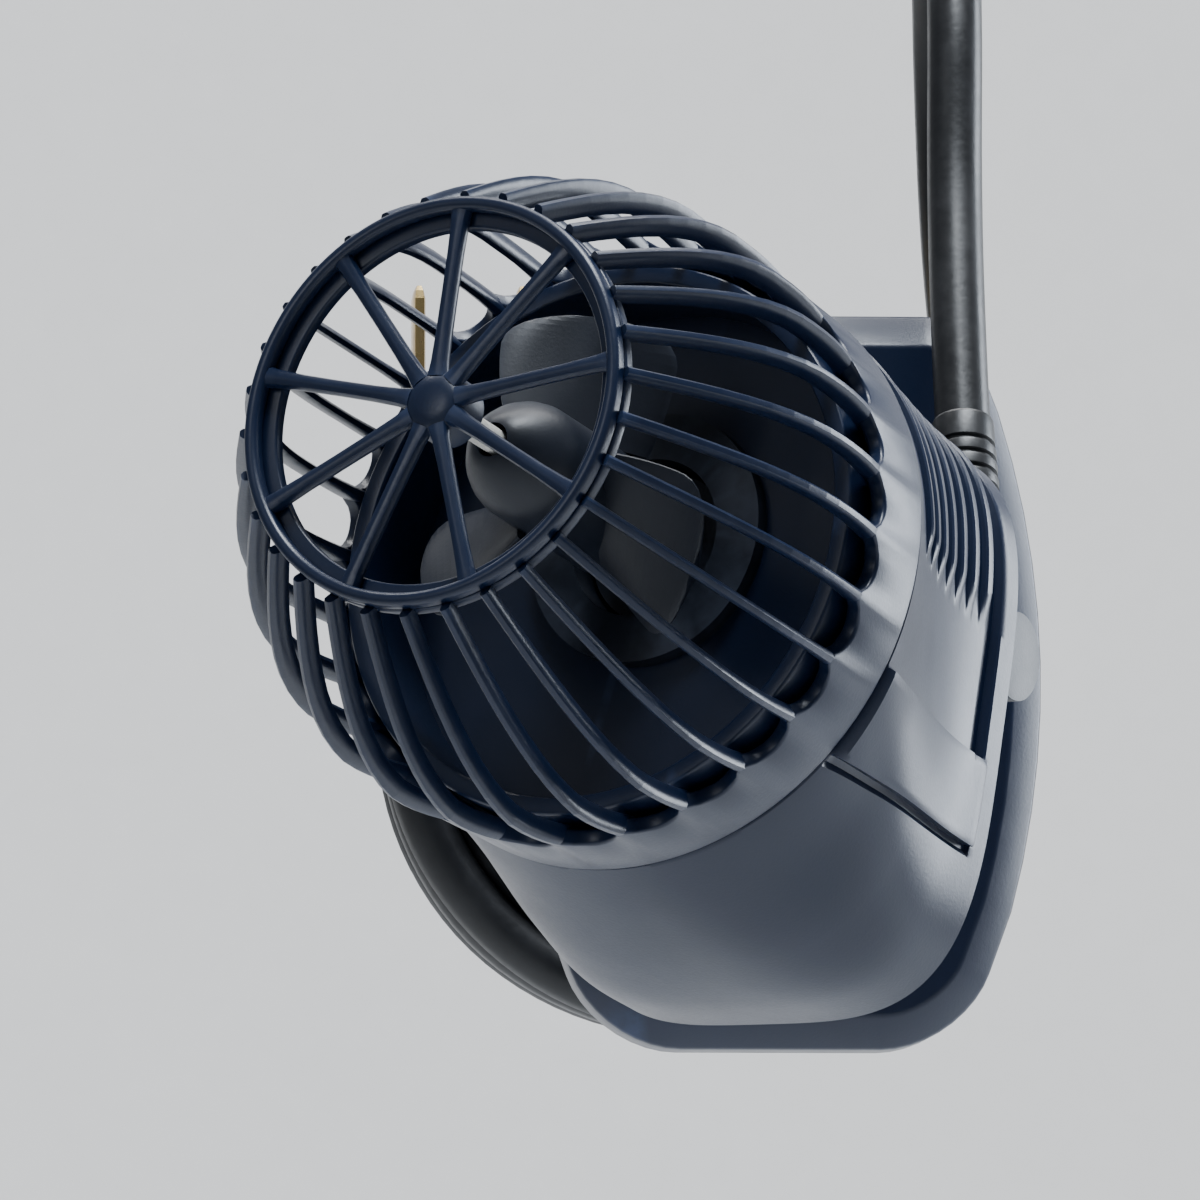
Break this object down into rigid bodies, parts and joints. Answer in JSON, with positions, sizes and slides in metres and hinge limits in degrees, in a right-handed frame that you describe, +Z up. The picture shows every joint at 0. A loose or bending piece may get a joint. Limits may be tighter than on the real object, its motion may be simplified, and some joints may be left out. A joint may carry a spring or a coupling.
{
  "type": "wave maker pump",
  "caption": "Aquarium wave maker: a ribbed cage round a propeller, a flat-sided motor housing, a two-axis joint and a magnet mount held through the glass, with cord and plug.",
  "frame": {"origin": "middle of the wet pad's face on the glass", "axes": "+X right along the glass, +Y through the glass out of the tank, +Z up; at rest the pump points into the tank, 35 degrees to the left and 15 degrees up"},
  "size_m": [0.1027, 0.2206, 0.1494],
  "materials": {
    "body_plastic": "moulded satin",
    "works_plastic": "moulded satin",
    "lid_plastic": "moulded",
    "pad_rubber": "soft matte",
    "bobbin_plastic": "moulded",
    "copper_wire": "enamelled winding",
    "magnetic_steel": "rolled",
    "stainless": "bright",
    "magnet": "sintered",
    "ceramic": "polished",
    "seal_rubber": "matte",
    "resin": "cast",
    "cord_jacket": "extruded",
    "plug_plastic": "moulded",
    "plug_brass": "bright",
    "tie_fabric": "hook and loop"
  },
  "bodies": {
    "mount": {"wet_pad": "pad_rubber", "wet_lid": "lid_plastic", "wet_magnets": "magnet", "wet_keeper": "magnetic_steel", "mount_shell": "body_plastic", "hinge_bracket": "body_plastic", "bracket_screws": "stainless", "yaw_pin": "stainless", "power_cord": "cord_jacket", "cord_coil": "cord_jacket", "plug_lead": "cord_jacket", "cord_tie": "tie_fabric", "plug_relief": "cord_jacket", "plug_body": "plug_plastic", "plug_pins": "plug_brass"},
    "swivel": {"swivel_block": "works_plastic", "left_friction_ring": "seal_rubber", "right_friction_ring": "seal_rubber", "trunnion_cap": "body_plastic", "cable_gland": "body_plastic", "strain_relief": "cord_jacket"},
    "head": {"motor_housing": "body_plastic", "rear_cover": "body_plastic", "cover_gasket": "seal_rubber", "cover_screws": "stainless", "potting_resin": "resin", "stator_core": "magnetic_steel", "left_bobbin": "bobbin_plastic", "right_bobbin": "bobbin_plastic", "left_winding": "copper_wire", "right_winding": "copper_wire", "rotor_well": "works_plastic", "rear_bush": "seal_rubber", "shaft": "ceramic", "thrust_washer": "ceramic"},
    "cage": {"intake_cage": "body_plastic", "outlet_grille": "body_plastic", "front_bush": "seal_rubber"},
    "rotor": {"propeller": "works_plastic", "rotor_jacket": "works_plastic", "rotor_magnet": "magnet", "rear_bearing": "ceramic", "front_bearing": "ceramic"},
    "dry_side": {"dry_pad": "pad_rubber", "dry_lid": "lid_plastic", "dry_magnets": "magnet", "dry_keeper": "magnetic_steel", "dry_shell": "body_plastic"}
  },
  "joints": [
    {"name": "yaw", "type": "hinge", "parent": "mount", "child": "swivel", "pos_m": [0.0043, -0.044, 0], "axis": [0, 0, 1], "range_deg": [-5, 62], "deforming": ["power_cord"]},
    {"name": "tilt", "type": "hinge", "parent": "swivel", "child": "head", "pos_m": [0.0043, -0.044, 0], "axis": [-0.8192, 0.5736, 0], "range_deg": [-30, 10]},
    {"name": "propeller_spin", "type": "hinge", "parent": "head", "child": "rotor", "pos_m": [-0.02894, -0.09147, 0.01553], "axis": [-0.554, -0.7912, 0.2588], "continuous": true},
    {"name": "cage_pull", "type": "slide", "parent": "head", "child": "cage", "axis": [-0.554, -0.7912, 0.2588], "range_m": [0, 0.03]},
    {"name": "dry_side_pull", "type": "slide", "parent": "mount", "child": "dry_side", "axis": [0, 1, 0], "range_m": [0, 0.02]}
  ]
}
